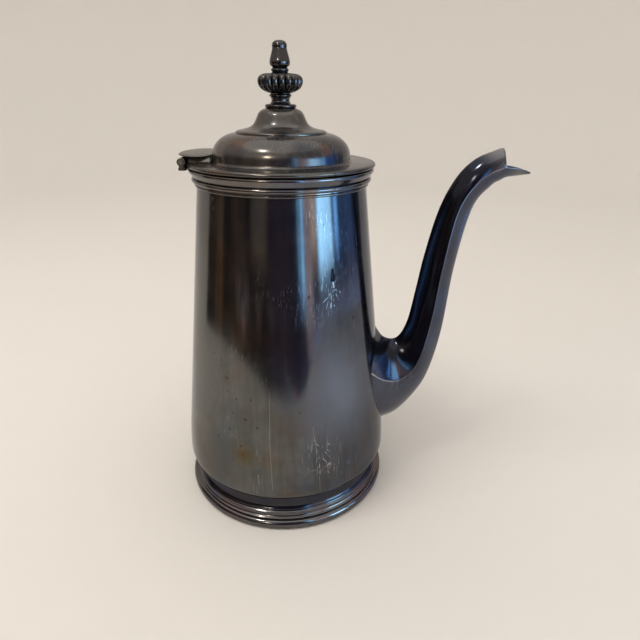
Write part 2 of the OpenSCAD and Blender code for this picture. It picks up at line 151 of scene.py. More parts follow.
def lathe(outline, steps=180, start=0.0, end=360.0):
    """A bmesh of a closed outline turned about the axis of the pot."""
    bm = bmesh.new()
    full = end - start >= 360
    poles = {}
    rings = []
    for k in range(steps if full else steps + 1):
        angle = math.radians(start + (end - start) * k / steps)
        ring = []
        for r, z in outline:
            if r < ON_AXIS:
                key = round(z, 5)
                if key not in poles:
                    poles[key] = bm.verts.new((0, 0, z))
                ring.append(poles[key])
            else:
                ring.append(bm.verts.new((r * math.cos(angle), r * math.sin(angle), z)))
        rings.append(ring)
    skin(bm, rings, full)
    if not full:
        bm.faces.new(rings[0])
        bm.faces.new(rings[-1])
    return bm


def skin(bm, rings, around):
    """Faces between closed rings of vertices, and from the last ring to the first if around."""
    for k in range(len(rings) if around else len(rings) - 1):
        one, two = rings[k], rings[(k + 1) % len(rings)]
        for i in range(len(one)):
            j = (i + 1) % len(one)
            corners = []
            for v in (one[i], one[j], two[j], two[i]):
                if v not in corners:
                    corners.append(v)
            if len(corners) > 2:
                bm.faces.new(corners)


def tube(rings):
    """A bmesh through closed rings of points, with both ends closed."""
    bm = bmesh.new()
    made = [[bm.verts.new(p) for p in ring] for ring in rings]
    skin(bm, made, False)
    bm.faces.new(made[0])
    bm.faces.new(made[-1])
    return bm


def combine(piece, other, operation="DIFFERENCE"):
    """Takes the solid in another bmesh, in millimetres, out of a piece, or joins it on."""
    bmesh.ops.recalc_face_normals(other, faces=other.faces)
    helper = new_object("other", new_mesh("other", other, MM))
    modifier = piece.modifiers.new("combine", "BOOLEAN")
    modifier.operation, modifier.solver, modifier.object = operation, "EXACT", helper
    evaluated = piece.evaluated_get(bpy.context.evaluated_depsgraph_get())
    piece.data = bpy.data.meshes.new_from_object(evaluated)
    piece.modifiers.clear()
    bpy.data.objects.remove(helper)
    shade(piece.data, 35)


def round_edges(bm, size, sharp=40):
    """Rounds the edges of a bmesh that turn by more than an angle in degrees."""
    bmesh.ops.recalc_face_normals(bm, faces=bm.faces)
    edges = [e for e in bm.edges if len(e.link_faces) == 2 and e.calc_face_angle() > math.radians(sharp)]
    bmesh.ops.bevel(bm, geom=edges, offset=size, segments=3, profile=0.5, affect="EDGES")


def add_rod(bm, start, end, radius, steps):
    """Adds a closed cylinder between two points to a bmesh."""
    start, end = Vector(start), Vector(end)
    turn = (end - start).to_track_quat("Z", "Y").to_matrix().to_4x4()
    bmesh.ops.create_cone(bm, cap_ends=True, segments=steps, radius1=radius, radius2=radius,
                          depth=(end - start).length, matrix=Matrix.Translation((start + end) / 2) @ turn)


def box(low, high):
    """A bmesh of a box between two corners."""
    bm = bmesh.new()
    low, high = Vector(low), Vector(high)
    made = bmesh.ops.create_cube(bm, size=1)["verts"]
    bmesh.ops.scale(bm, vec=high - low, verts=made)
    bmesh.ops.translate(bm, vec=(low + high) / 2, verts=made)
    return bm


def rod(start, end, radius, steps):
    bm = bmesh.new()
    add_rod(bm, start, end, radius, steps)
    return bm


# ---------------------------------------------------------------- materials


class Paint:
    """Short calls that build the nodes of one procedural material."""

    def __init__(self, name):
        self.material = bpy.data.materials.new(name)
        self.material.use_nodes = True
        self.tree = self.material.node_tree
        self.shader = self.tree.nodes["Principled BSDF"]
        self.place = self.add("ShaderNodeTexCoord").outputs["Object"]

    def add(self, kind, inputs=None, **settings):
        node = self.tree.nodes.new(kind)
        for key, value in settings.items():
            setattr(node, key, value)
        for key, value in (inputs or {}).items():
            self.put(node.inputs[key], value)
        return node

    def put(self, socket, value):
        if isinstance(value, bpy.types.NodeSocket):
            self.tree.links.new(value, socket)
        elif socket.type == "RGBA":
            socket.default_value = (*value, 1)
        else:
            socket.default_value = value

    def math(self, operation, *values, clamp=False):
        made = self.add("ShaderNodeMath", dict(enumerate(values)), operation=operation, use_clamp=clamp)
        return made.outputs[0]

    def vector(self, operation, values, output=0):
        return self.add("ShaderNodeVectorMath", values, operation=operation).outputs[output]

    def times(self, a, b, clamp=False):
        return self.math("MULTIPLY", a, b, clamp=clamp)

    def noise(self, scale, stretch=(1, 1, 1), turn=(0, 0, 0), detail=3, rough=0.55, seed=0.0):
        at = self.add("ShaderNodeMapping", {"Vector": self.place, "Scale": stretch, "Rotation": turn,
                                            "Location": (seed, seed * 0.7, seed * 0.3)}).outputs[0]
        return self.add("ShaderNodeTexNoise", {"Vector": at, "Scale": scale, "Detail": detail,
                                               "Roughness": rough}).outputs["Fac"]

    def step(self, value, low, high):
        """0 below low, 1 above high and smooth between."""
        return self.add("ShaderNodeMapRange", {"Value": value, "From Min": low, "From Max": high},
                        interpolation_type="SMOOTHSTEP").outputs[0]

    def span(self, value, low, high):
        """value from 0 to 1 mapped to low to high."""
        return self.add("ShaderNodeMapRange", {"Value": value, "To Min": low, "To Max": high}).outputs[0]

    def mix(self, share, a, b, blend="MIX"):
        node = self.add("ShaderNodeMix", data_type="RGBA", blend_type=blend)
        for index, value in ((0, share), (6, a), (7, b)):
            self.put(node.inputs[index], value)
        return node.outputs[2]

    def axis(self, name):
        return self.add("ShaderNodeSeparateXYZ", {0: self.place}).outputs[name]

    def azimuth(self):
        """The angle round the pot in radians: 0 on the -Y side, growing towards +X."""
        return self.math("ARCTAN2", self.axis("X"), self.times(self.axis("Y"), -1.0))

    def near(self, point, radius):
        """1 at a point in millimetres, falling to 0 at the radius."""
        away = self.vector("DISTANCE", {0: self.place, 1: Vector(point) * MM}, "Value")
        return self.step(away, radius * MM, 0)


WAVE = 0.00005           # height in metres of the slow waves in the sheet


def scratches(paint, seed, low):
    """A mask of fine scratches in three directions, thickest where a slow cloud is strong."""
    lines = [paint.noise(1500, (1, 1, 0.012), (0.1, 0.05, 0), 1, seed=seed),
             paint.noise(1300, (1, 1, 0.015), (0.05, 0.55, 0), 1, seed=seed + 2),
             paint.noise(1400, (1, 1, 0.015), (0, -0.7, 0), 1, seed=seed + 4)]
    masks = [paint.step(line, low, low + 0.05) for line in lines]
    most = paint.math("MAXIMUM", masks[0], paint.math("MAXIMUM", masks[1], masks[2]))
    return paint.times(most, paint.step(paint.noise(45, seed=seed + 6), 0.45, 0.7))


def silver(name, plain, warm, cool, rough=(0.07, 0.2), streak=0.0, seed=0.0, blue_reflection_side=None, haze=0.06,
           scratched=0.3, extra=None):
    """Silver plate under tarnish: clouds of warm and cool film, pits, scratches and slow waves.

    rough is the roughness from clean to clouded, blue_reflection_side the X range in millimetres over
    which a painted blue reflection turns the colour cool, haze how far the tarnish dulls the metal, and
    extra adds a piece's marks and painted light.
    """
    p = Paint(name)
    colour = p.mix(p.step(p.noise(26, detail=5, seed=seed), 0.48, 0.66), plain, warm)
    cool_film_and_reflection = p.step(p.noise(21, detail=4, seed=seed + 3), 0.5, 0.66)
    # painted reflection: over a range of X the colour turns cool, as where a blue window reflects
    if blue_reflection_side is not None:
        side = p.step(p.axis("X"), blue_reflection_side[0] * MM, blue_reflection_side[1] * MM)
        cool_film_and_reflection = p.math("MAXIMUM", cool_film_and_reflection, p.times(side, 0.85))
    colour = p.mix(cool_film_and_reflection, colour, cool)
    cloud = p.noise(70, detail=6, rough=0.65, seed=seed + 5)
    colour = p.mix(1.0, colour, p.mix(cloud, (0.6, 0.6, 0.6), (1.4, 1.4, 1.4)), "MULTIPLY")
    if streak:
        lines = p.noise(190, (1, 1, 0.035), detail=4, seed=seed + 7)
        tone = p.mix(p.step(lines, 0.32, 0.68), (1 - streak,) * 3, (1 + streak,) * 3)
        colour = p.mix(1.0, colour, tone, "MULTIPLY")
    wear_and_painted_highlight = scratches(p, seed, 0.66)
    colour = p.mix(p.times(wear_and_painted_highlight, scratched), colour, (0.4, 0.4, 0.42))
    pits = p.step(p.noise(330, detail=1, seed=seed + 9), 0.74, 0.78)
    colour = p.mix(p.times(pits, 0.7), colour, (0.03, 0.026, 0.025))
    # painted highlight along the spout's side crease, from a vertex attribute
    crease_painted_highlight = p.add("ShaderNodeAttribute", attribute_name="wear_and_painted_highlight").outputs["Fac"]
    colour = p.mix(p.times(crease_painted_highlight, 0.8), colour, (0.55, 0.55, 0.56))
    height = p.times(p.noise(24, detail=2, seed=seed + 8), WAVE)
    height = p.math("ADD", height, p.times(p.noise(1800, detail=2), 0.0000012))
    height = p.math("SUBTRACT", height, p.times(wear_and_painted_highlight, scratched * 0.00001))
    gloss = p.math("ADD", p.span(cloud, *rough), p.times(wear_and_painted_highlight, scratched * 0.5))
    if extra is not None:
        colour, gloss, height = extra(p, colour, gloss, height)
    p.put(p.shader.inputs["Base Color"], colour)
    p.put(p.shader.inputs["Roughness"], gloss)
    p.shader.inputs["Metallic"].default_value = 1 - haze
    p.shader.inputs["Specular Tint"].default_value = (0.78, 0.78, 0.8, 1)
    bump = p.add("ShaderNodeBump", {"Height": height, "Distance": 1.0, "Strength": 1.0})
    p.put(p.shader.inputs["Normal"], bump.outputs[0])
    return p.material


def stroke(p, at, start, end, width):
    """A mask of one scratch between two points of the unrolled body, in millimetres."""
    start, end = Vector((*start, 0)), Vector((*end, 0))
    along = end - start
    away = p.vector("SUBTRACT", {0: at, 1: start})
    dot = p.vector("DOT_PRODUCT", {0: away, 1: along}, "Value")
    share = p.times(dot, 1 / along.length_squared, clamp=True)
    step = p.vector("SCALE", {0: along, "Scale": share})
    rest = p.vector("SUBTRACT", {0: away, 1: step})
    return p.step(p.vector("LENGTH", {0: rest}, "Value"), width, width * 0.3)


# Marks on the unrolled body as (from, to): along the skin from the -Y line, then height
UNROLLED_R = 53.0        # radius that turns an angle into millimetres along the skin
# The dent's painted shade, and a painted highlight on its edge
DENT_SHADE_LINES = [((30.9, 138.6), (30.1, 134.4)), ((30.9, 138.6), (31.8, 134.6)), ((30.2, 134), (31.8, 133.8))]
DENT_EDGE_HIGHLIGHT_LINES = [((30.9, 132.6), (31.3, 130.8))]
FAN = [((30, 131), (26, 121)), ((30.3, 130), (28, 119.5)), ((30.5, 130.5), (31, 121.5)),
       ((31, 130), (34, 124)), ((29.5, 128), (24.5, 124.5)), ((29.5, 126), (29, 118)),
       ((32, 129.5), (35.5, 127.5))]
SCRIBBLE = [((17, 56), (17.6, 50)), ((17.6, 50), (19, 46)), ((17.2, 53), (19.4, 50.5)),
            ((19, 46), (19.2, 33)), ((21, 50), (25.5, 45)), ((22, 47), (25.8, 41)),
            ((21, 43), (24.5, 38.5)), ((22, 38), (25, 39.5)), ((24, 51), (26.5, 48.5)),
            ((22.5, 35.5), (24, 34)), ((12, 36.5), (17, 37.6)), ((-11, 40), (-10, 29))]
PITS = [((-33, 52), (-33, 51.2)), ((-26, 58.5), (-25.4, 58)), ((-27, 79), (-27, 78.6)),
        ((-22, 76), (-21.8, 75.5)), ((-14, 77), (-14, 76.6)), ((-11, 62.5), (-10.6, 62)),
        ((-19.5, 50.5), (-19.2, 50.2)), ((-24, 68), (-23.8, 67.7)), ((-37, 96), (-37, 95.6)),
        ((-30, 108), (-30, 107.7)), ((10, 71), (10.3, 70.8)), ((39, 31), (39, 30.4))]
LONG_LINES = [((-4.4, 84), (-4.7, 54)), ((-4.7, 56), (-3.6, 27)), ((19, 33), (19.2, 24)),
              ((16.5, 62), (17, 56))]


def strokes(p, lines, width, broken=True):
    """A mask of several marks, with gaps in them where they are broken."""
    along = p.times(p.azimuth(), UNROLLED_R)
    at = p.add("ShaderNodeCombineXYZ", {0: along, 1: p.times(p.axis("Z"), 1000.0)}).outputs[0]
    most = stroke(p, at, *lines[0], width)
    for line in lines[1:]:
        most = p.math("MAXIMUM", most, stroke(p, at, *line, width))
    if not broken:
        return most
    return p.times(most, p.math("SUBTRACT", 1.0, p.step(p.noise(420, detail=3), 0.62, 0.4)))


def body_marks_and_painted_light(p, colour, gloss, height):
    """Marks on the body: lighter grey towards -X, brown and slate clouds low down, a painted blue
    reflection, a stain, a dent with painted shade and highlight and scratches under it, a scribble and pits.
    """
    colour = p.mix(p.step(p.axis("X"), -0.018, -0.05), colour, (0.15, 0.148, 0.136))
    low = p.step(p.axis("Z"), 0.13, 0.07)
    brown = p.times(p.step(p.noise(34, (1, 1, 0.7), detail=6), 0.5, 0.64), low)
    colour = p.mix(p.times(brown, 0.55), colour, (0.088, 0.07, 0.054))
    slate = p.times(p.step(p.noise(41, (1, 1, 0.6), (3, 0, 0), detail=6), 0.5, 0.64), low)
    colour = p.mix(p.times(slate, 0.5), colour, (0.085, 0.105, 0.12))
    # painted reflection of a blue window on the right of the body
    window_painted_reflection = p.times(p.near((30, -46, 78), 40), p.span(p.noise(60, detail=4), 0.4, 1.5), clamp=True)
    colour = p.mix(window_painted_reflection, colour, (0.15, 0.17, 0.22))
    stain = p.times(p.near((-18.8, -52.3, 45), 10), p.span(p.noise(160, detail=4), 0.3, 1.3), clamp=True)
    colour = p.mix(stain, colour, (0.1, 0.075, 0.03))
    patch = p.times(p.near((20.5, -51.7, 45), 17),
                    p.step(p.noise(900, (1, 0.2, 0.12), (0.5, 0.5, 0), 2), 0.55, 0.62))
    colour = p.mix(p.times(patch, 0.35), colour, (0.5, 0.5, 0.52))
    lines = p.math("MAXIMUM", strokes(p, FAN, 0.24), strokes(p, SCRIBBLE, 0.26))
    colour = p.mix(p.times(lines, 0.7), colour, (0.45, 0.46, 0.48))
    colour = p.mix(p.times(strokes(p, LONG_LINES, 0.26, False), 0.3), colour, (0.4, 0.4, 0.4))
    colour = p.mix(p.times(strokes(p, PITS, 0.5, False), 0.8), colour, (0.02, 0.018, 0.016))
    # painted shade in the dent and a painted highlight on its edge; the dent's mask also dips the bump height
    dent_and_painted_shade = strokes(p, DENT_SHADE_LINES, 1.0, False)
    bright = strokes(p, DENT_EDGE_HIGHLIGHT_LINES, 0.8, False)
    colour = p.mix(p.times(dent_and_painted_shade, 0.95), colour, (0.008, 0.01, 0.016))
    colour = p.mix(p.times(bright, 0.8), colour, (0.6, 0.65, 0.7))
    gloss = p.math("ADD", gloss, p.times(p.math("MAXIMUM", patch, lines), 0.3))
    height = p.math("SUBTRACT", height, p.times(dent_and_painted_shade, 0.0002))
    return colour, gloss, height


def foot_painted_shade(p, colour, gloss, height):
    """Painted shade in the hollow of the foot, under the body."""
    hollow_painted_shade = p.times(p.step(p.axis("Z"), 0.0092, 0.0102), p.step(p.axis("Z"), 0.0200, 0.0185))
    colour = p.mix(p.times(hollow_painted_shade, 0.75), colour, (0.018, 0.02, 0.032))
    return colour, gloss, height


def spout_painted_light(p, colour, gloss, height):
    """Painted highlights on the hood, the beak and the top of the root; painted shade on the upper
    panels of the neck and in the root's hollow.
    """
    # painted highlight on the top of the hood
    hood = p.times(p.near((102, 0, 188), 12), p.span(p.noise(90, detail=4), 0.4, 1.3), clamp=True)
    colour = p.mix(hood, colour, (0.4, 0.375, 0.355))
    # painted highlight on the beak
    colour = p.mix(p.near((115, -2, 178), 8), colour, (0.17, 0.17, 0.165))
    # painted shade on the upper panels of the neck, from a vertex attribute
    neck_painted_shade = p.add("ShaderNodeAttribute", attribute_name="neck_painted_shade").outputs["Fac"]
    colour = p.mix(neck_painted_shade, colour, (0.016, 0.018, 0.028))
    # painted shade in the hollow of the root
    colour = p.mix(p.near((66, -9, 77), 17), colour, (0.026, 0.025, 0.03))
    # painted highlight on the top of the root
    colour = p.mix(p.near((57, -6, 93), 9), colour, (0.17, 0.165, 0.16))
    return colour, gloss, height


# Patches on the lid as (place, radius, strength, colour): tarnish, painted reflections and painted shade
LID_PATCHES = [((12, -31, 185), 16, 0.8, (0.045, 0.046, 0.055)),
               ((2, -19.6, 196), 5.5, 0.75, (0.02, 0.022, 0.03)),
               ((-18, -24, 190), 8, 0.6, (0.16, 0.09, 0.05)),
               ((-20, -26, 186), 12, 0.55, (0.055, 0.06, 0.085)),
               ((23, -22, 186), 8, 0.7, (0.03, 0.055, 0.12)), ((22, -24, 190), 7, 0.5, (0.17, 0.1, 0.06)),
               ((-4, -12, 200), 5, 0.5, (0.06, 0.06, 0.075))]


def lid_patches_and_painted_light(p, colour, gloss, height):
    """Dark, blue and brown patches on the lid: tarnish, with painted reflections and painted shade among
    them.
    """
    for place, radius, strength, patch in LID_PATCHES:
        ragged = p.math("ADD", p.near(place, radius), p.span(p.noise(120, detail=5), -0.5, 0.5))
        colour = p.mix(p.times(p.step(ragged, 0.25, 0.75), strength), colour, patch)
    return colour, gloss, height


def wood_material(name):
    """Ebonised fruitwood: dark stain, brown grain showing along the curve, satin wax."""
    p = Paint(name)
    grain = p.noise(420, (1, 0.22, 0.12), detail=6, rough=0.6)
    pores = p.step(p.noise(1600, (1, 0.08, 0.05), detail=2), 0.6, 0.68)
    colour = p.mix(p.step(grain, 0.35, 0.7), (0.01, 0.007, 0.006), (0.032, 0.018, 0.012))
    colour = p.mix(p.times(pores, 0.7), colour, (0.006, 0.004, 0.003))
    p.put(p.shader.inputs["Base Color"], colour)
    p.put(p.shader.inputs["Roughness"], p.span(grain, 0.26, 0.42))
    height = p.math("SUBTRACT", p.times(grain, 0.00003), p.times(pores, 0.00004))
    bump = p.add("ShaderNodeBump", {"Height": height, "Distance": 1.0})
    p.put(p.shader.inputs["Normal"], bump.outputs[0])
    p.shader.inputs["Coat Weight"].default_value = 0.25
    p.shader.inputs["Coat Roughness"].default_value = 0.2
    return p.material


def steel_material(name):
    """Dull nickel steel with turning marks."""
    p = Paint(name)
    marks = p.noise(2600, (0.1, 0.1, 1), detail=2)
    cloud = p.noise(260, detail=4)
    p.put(p.shader.inputs["Base Color"], p.mix(cloud, (0.22, 0.2, 0.18), (0.42, 0.41, 0.4)))
    p.put(p.shader.inputs["Roughness"], p.span(marks, 0.25, 0.45))
    bump = p.add("ShaderNodeBump", {"Height": p.times(marks, 0.000006), "Distance": 1.0})
    p.put(p.shader.inputs["Normal"], bump.outputs[0])
    p.shader.inputs["Metallic"].default_value = 1.0
    return p.material


GREY = (0.112, 0.114, 0.11)
BROWN = (0.118, 0.096, 0.078)
NAVY = (0.085, 0.105, 0.155)

SILVERS = {
    "body_silver": dict(plain=GREY, warm=BROWN, cool=(0.06, 0.07, 0.095), streak=0.12, seed=1,
                        blue_reflection_side=(-8, 38), extra=body_marks_and_painted_light),
    "foot_silver": dict(plain=(0.13, 0.125, 0.125), warm=(0.13, 0.1, 0.1), cool=NAVY, seed=11,
                        scratched=0.08, extra=foot_painted_shade),
    "rim_silver": dict(plain=(0.15, 0.14, 0.13), warm=(0.15, 0.12, 0.1), cool=(0.1, 0.12, 0.17), seed=21,
                       scratched=0.06),
    "lid_silver": dict(plain=(0.108, 0.102, 0.096), warm=(0.11, 0.084, 0.069), cool=(0.076, 0.077, 0.086),
                       rough=(0.14, 0.28), seed=31, haze=0.24, extra=lid_patches_and_painted_light),
    "finial_silver": dict(plain=(0.076, 0.074, 0.076), warm=(0.09, 0.076, 0.066), seed=41,
                          cool=(0.055, 0.062, 0.08), rough=(0.07, 0.16), scratched=0.1),
    "spout_silver": dict(plain=(0.074, 0.082, 0.112), warm=(0.078, 0.08, 0.095), seed=51,
                         cool=(0.055, 0.072, 0.12), haze=0.1, extra=spout_painted_light),
    "hinge_silver": dict(plain=(0.19, 0.182, 0.165), warm=(0.15, 0.135, 0.115), seed=61,
                         cool=(0.165, 0.165, 0.168), rough=(0.2, 0.4), haze=0.15),
    "socket_silver": dict(plain=GREY, warm=BROWN, cool=NAVY, seed=71)}
MATERIALS = {name: silver(name, **look) for name, look in SILVERS.items()}
MATERIALS["steel"] = steel_material("steel")
MATERIALS["ebonised_wood"] = wood_material("ebonised_wood")
SLOT_OF = {s["node"]: s["material_slot"] for s in frame["record"]["subparts"]}
for node, piece in frame["nodes"].items():
    piece.data.materials.clear()
    piece.data.materials.append(MATERIALS[SLOT_OF[node]])


def turned(node, outline, body, corner=0.25, **turn):
    """A lathe-turned piece in place of one CAD node."""
    bm = lathe(soften(outline, corner) if corner else outline, **turn)
    return make_piece(node + "_skin", bm, body, [node])


# ---------------------------------------------------------------- body

WALL = 1.2
BODY_TOP_R, BODY_TOP_Z = 41.3, 171
BODY_BASE_R, BODY_BASE_Z = 57.2, 24
TAPER = (BODY_BASE_R - BODY_TOP_R + 0.75) / (BODY_TOP_Z - BODY_BASE_Z)
SWELL_Z, SWELL = 40, 0.003
TURN_R = 5.2
MOUTH_Z = 179.4
FLOOR_R = BODY_BASE_R - TURN_R - 1
HOLE_R, HOLE_PITCH, HOLE_Z, HOLE_ROWS = 2, 7, 62, 3


def body_r(z):
    return BODY_TOP_R + TAPER * (BODY_TOP_Z - z) - SWELL * max(0, SWELL_Z - z) ** 2


def body_line(inset):
    """The outline of the body from its floor to its mouth, inset from the outer skin."""
    turn = (BODY_BASE_R - TURN_R, BODY_BASE_Z)
    under = arc(turn, (TURN_R - inset, TURN_R - inset), -90, 0, 16)
    heights = [*range(26, 41, 2), 45, *range(55, 166, 10), BODY_TOP_Z]
    side = [(body_r(z) - inset, z) for z in heights]
    return [(FLOOR_R, turn[1] - TURN_R + inset)] + under + side + [(BODY_TOP_R - inset, MOUTH_Z)]


def strainer_holes():
    bm = bmesh.new()
    for row in range(-HOLE_ROWS, HOLE_ROWS + 1):
        count = 5 - abs(row) % 2 - (2 if abs(row) == HOLE_ROWS else 0)
        for i in range(count):
            y, z = (i - (count - 1) / 2) * HOLE_PITCH, HOLE_Z + row * HOLE_PITCH * 0.85
            add_rod(bm, (BODY_TOP_R, y, z), (BODY_BASE_R + 4, y, z), HOLE_R, 24)
    return bm


body = turned("body_shell", body_line(0) + body_line(WALL)[::-1], "pot", corner=0.15)
combine(body, strainer_holes())

# ---------------------------------------------------------------- foot

FOOT_R, BEAD_R, BEAD_TOP_Z, WAIST_R = 57.5, 2.7, 5.2, 51.8
foot_line = ([(FOOT_R - BEAD_R, BEAD_TOP_Z), (55.4, 6.2)]
             + arc((55.2, 8.1), (1.3, 1.7), -100, -180, 8)
             + [(54.3, 8.3), (54.3, 9.3), (53.6, 9.7)]
             + arc((54.1, 13.6), (54.1 - WAIST_R, 3.6), -110, -180, 12)
             + [(WAIST_R, BODY_BASE_Z - TURN_R)])
turned("foot_skirt", foot_line + [(r - 1.5 * WALL, z) for r, z in foot_line[::-1]], "pot", corner=0.2)
bead_line = (arc((FOOT_R - BEAD_R, 2.5), (BEAD_R, BEAD_R), -67, 89, 24)
             + [(FOOT_R - 2 * BEAD_R, BEAD_TOP_Z - 0.02), (FOOT_R - 2 * BEAD_R, 0)])
turned("foot_edge_bead", bead_line, "pot", corner=0.15)

# ---------------------------------------------------------------- rim

RIM_IN = BODY_TOP_R + 0.02
turned("rim_band_upper",
       [(RIM_IN, MOUTH_Z - 4.2), (RIM_IN + 1.5, MOUTH_Z - 4.2)]
       + curve([(RIM_IN + 1.6, MOUTH_Z - 4.1), (RIM_IN + 2.2, MOUTH_Z - 3.2), (RIM_IN + 2.9, MOUTH_Z - 2.1)])
       + arc((43.7, MOUTH_Z - 1.1), (1, 1.1), -35, 90, 14) + [(RIM_IN, MOUTH_Z)], "pot", corner=0.15)
turned("rim_band_lower",
       [(RIM_IN, BODY_TOP_Z)] + arc((RIM_IN + 0.4, BODY_TOP_Z + 0.6), (0.6, 0.6), -85, 60, 10)
       + curve([(RIM_IN + 0.6, BODY_TOP_Z + 1.25), (RIM_IN + 0.55, BODY_TOP_Z + 1.7),
                (RIM_IN + 0.8, BODY_TOP_Z + 2.1)])
       + arc((RIM_IN + 1.1, BODY_TOP_Z + 3), (1.15, 1.1), -65, 90, 14) + [(RIM_IN, BODY_TOP_Z + 4.1)],
       "pot", corner=0.1)

# ---------------------------------------------------------------- lid

LID_WALL, BRIM_R, BRIM_Z, DOME_R, DOME_TOP_Z = 1.0, 45.3, 181.6, 33, 194.4
DOME_C = (20, DOME_TOP_Z - 10)
DOME_A = (DOME_R - DOME_C[0], 10)
NOTCH_X = 42.6
dome_line = ([(5.6, DOME_TOP_Z)] + arc(DOME_C, DOME_A, 90, 0, 40) + [(DOME_R + 0.1, DOME_C[1] - 1.2)]
             + arc((DOME_R + 1.8, BRIM_Z + 1.6), (1.7, 1.6), 180, 270, 10)
             + [(BRIM_R - 1.2, BRIM_Z), (BRIM_R - 1.2, BRIM_Z - LID_WALL), (DOME_R, BRIM_Z - LID_WALL),
                (DOME_R - LID_WALL + 0.1, BRIM_Z + 0.6)]
             + arc(DOME_C, (DOME_A[0] - LID_WALL, 10 - LID_WALL), 0, 90, 40) + [(5.6, DOME_TOP_Z - LID_WALL)])
dome = turned("lid_dome", dome_line, "lid", corner=0.3)
combine(dome, box((-100, -17, BRIM_Z - 5), (-NOTCH_X, 17, BRIM_Z + 0.01)))
NOTCH_ANGLE = math.degrees(math.acos(NOTCH_X / BRIM_R))
turned("lid_brim_bead",
       [(BRIM_R - 1.18, BRIM_Z - 0.1)] + arc((BRIM_R - 0.9, BRIM_Z - 0.9), (0.9, 0.9), 80, -130, 16)
       + [(BRIM_R - 1.18, BRIM_Z - 1.5)],
       "lid", corner=0, start=NOTCH_ANGLE - 180, end=180 - NOTCH_ANGLE)

crown_line = ([(21.6, DOME_TOP_Z - 0.8), (21.6, DOME_TOP_Z + 0.5)]
              + curve([(20.6, 195.4), (18, 195.9), (15.8, 196.5), (14.2, 197.2), (12.9, 198.3), (11.9, 200),
                       (11.2, 201.5), (10.4, 203), (9.1, 204.2), (7.2, 205)])
              + [(1.7, 205), (1.7, 204), (7, 204)]
              + curve([(9.2, 202.5), (10.2, 200.5), (11.2, 198.2), (12.8, 196.5), (15, 195.4), (20.6, 194.5)])
              + [(20.6, DOME_TOP_Z - 0.8)])
turned("lid_crown", crown_line, "lid", corner=0.25)

# ---------------------------------------------------------------- finial

STUD_R = 1.52            # bore of the finial's pieces, for the stud
turned("finial_collar", [(STUD_R, 205.02), (6.3, 205.02)] + arc((6.4, 205.92), (0.95, 0.9), -60, 80, 12)
       + [(5.0, 206.98), (STUD_R, 206.98)], "lid", corner=0.15)
turned("finial_stem", [(STUD_R, 207), (4.9, 207)]
       + curve([(4.8, 207.1), (4.3, 207.8), (4.2, 208.6), (4.5, 209.5)])
       + arc((4.5, 210.4), (0.7, 0.6), -75, 75, 10) + [(4.3, 211.28), (STUD_R, 211.28)], "lid", corner=0.12)
turned("finial_neck", [(STUD_R, 219.7), (4.2, 219.7)] + curve([(4.0, 219.8), (3.5, 220.2)])
       + arc((3.3, 221), (0.75, 0.7), -55, 60, 10) + [(3.2, 222.18), (STUD_R, 222.18)], "lid", corner=0.1)
TIP_LINE = curve([(3.5, 222.2), (4.3, 222.8), (4.65, 223.9), (4.45, 225.4), (4.0, 227), (3.55, 228.6),
                  (3.3, 229.6), (3.3, 230.1), (3.4, 230.7), (3.25, 231.5), (2.6, 232.35), (1.4, 232.87),
                  (0, 233)], 5)
turned("finial_tip", [(0, 222.2)] + TIP_LINE, "lid", corner=0)

KNOP_LOBES = 18
LOBE_STEPS = 14          # points round the knop for each lobe
KNOP_LINE = curve([(4.9, 211.3), (5.6, 211.6), (7.6, 212.4), (9.2, 213.5), (10.15, 215), (10.4, 216.6),
                   (10.0, 218), (8.9, 219), (7.2, 219.55), (4.6, 219.68)], 4)


def knop():
    """A cushion with lobes: half-round ribs pinched apart by grooves that fade at both ends."""
    around = KNOP_LOBES * LOBE_STEPS
    rings = []
    for r, z in KNOP_LINE:
        depth = 0.16 * min(1, (r - 4.4) / 3.5) if r > 4.4 else 0
        ring = []
        for i in range(around):
            angle = 2 * math.pi * i / around
            rib = abs(math.cos(angle * KNOP_LOBES / 2)) ** 0.75
            out = r * (1 - depth * (1 - rib))
            ring.append((out * math.cos(angle), out * math.sin(angle), z))
        rings.append(ring)
    return tube(rings)


make_piece("finial_knop_skin", knop(), "lid", ["finial_knop"], sharp=60)

# ---------------------------------------------------------------- hinge

PIN_X, PIN_Z, PIN_BORE_R, KNUCKLE_R = -45, 182.2, 1.05, 1.9
HINGE_HALF_Y, LID_HALF_Y, EAR_Y = 16, 8, 8.3
PAD_X, PAD_TOP_Z = -36.6, 184.42
PLATE_X, PLATE_HALF_X, PLATE_HALF_Y, PLATE_Z = -38.8, 10.2, 17.4, 184.45
LIP_X, LIP_DROP = -45, 2.0
PLATE_STEPS = 72         # points round the cover


def oblong(centre_x, half_x, half_y, corner, z, steps=8):
    """A rectangle with round corners at a height."""
    ring = []
    for k, (sx, sy) in enumerate(((1, 1), (-1, 1), (-1, -1), (1, -1))):
        centre = (sx * (half_x - corner), sy * (half_y - corner))
        for x, y in arc(centre, (corner, corner), 90 * k, 90 * k + 90, steps):
            ring.append((centre_x + x, y, z))
    return ring


def pad():
    """The cushion under the cover: it stands on the brim and draws in towards its top."""
    rows = ((181.62, 5.9, 15.2, 3.2), (181.9, 6.1, 15.6, 3.4), (182.6, 6.1, 15.6, 3.4),
            (183.3, 5.8, 15.1, 3.2), (183.9, 5.3, 14.2, 3.0), (PAD_TOP_Z, 4.9, 13.6, 2.8))
    return tube([oblong(PAD_X, half_x, half_y, corner, z) for z, half_x, half_y, corner in rows])


def knuckle(low, high):
    bm = rod((PIN_X, low, PIN_Z), (PIN_X, high, PIN_Z), KNUCKLE_R, 40)
    round_edges(bm, 0.2, 60)
    return bm


